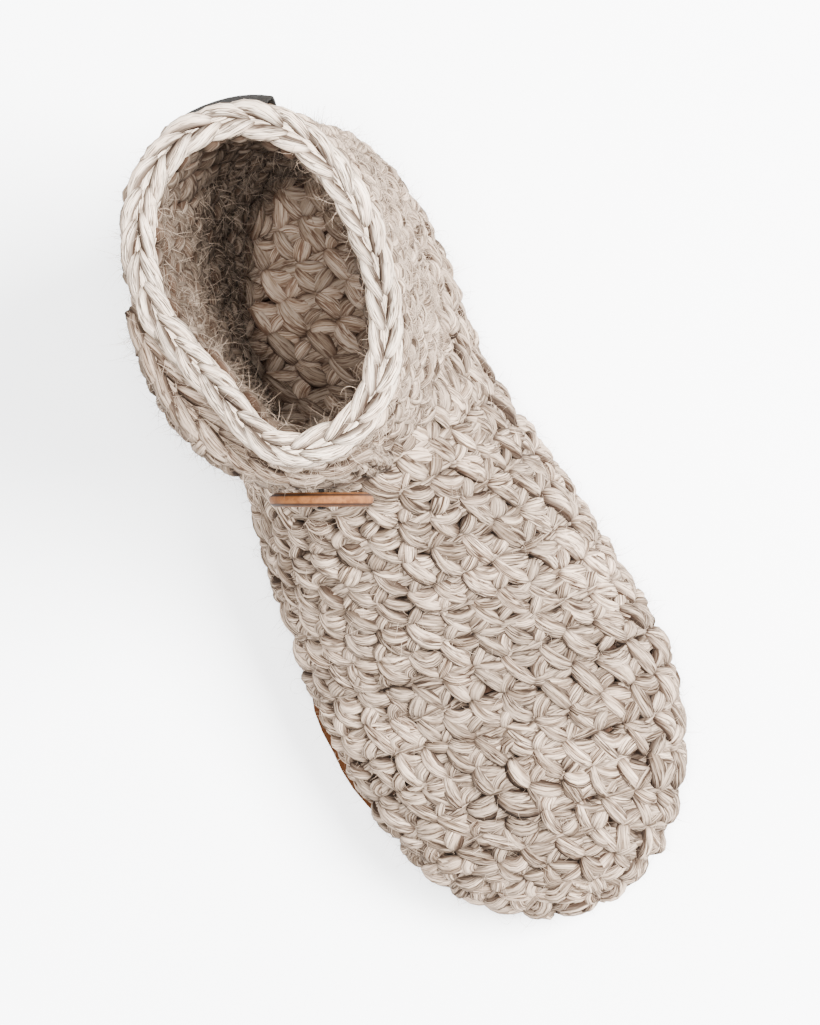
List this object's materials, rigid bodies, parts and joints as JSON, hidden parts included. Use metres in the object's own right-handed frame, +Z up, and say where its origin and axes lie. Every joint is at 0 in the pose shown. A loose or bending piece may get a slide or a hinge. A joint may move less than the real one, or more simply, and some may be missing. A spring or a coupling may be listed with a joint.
{
  "type": "house slipper",
  "caption": "Right-foot ankle slipper of thick crocheted wool with a wrap-over flap, a round wooden button and a thin suede sole sewn on underneath.",
  "frame": {"origin": "middle of the slipper's box, on the floor plane", "axes": "+X towards the toe, +Y towards the medial side, +Z up"},
  "size_m": [0.2614, 0.112, 0.171],
  "materials": {
    "wool": "thick marled wool yarn in crochet stitches, matt and slightly hairy",
    "suede": "tan suede with a short nap, sewn on with a bright blue running stitch",
    "wood": "turned and oiled wood with a burnt ring",
    "thread": "dark sewing thread",
    "label": "dark woven strip, plain"
  },
  "bodies": {
    "root": {"upper": "wool", "flap": "wool", "sole": "suede", "button": "wood", "button_thread": "thread", "heel_label": "label"}
  },
  "joints": []
}
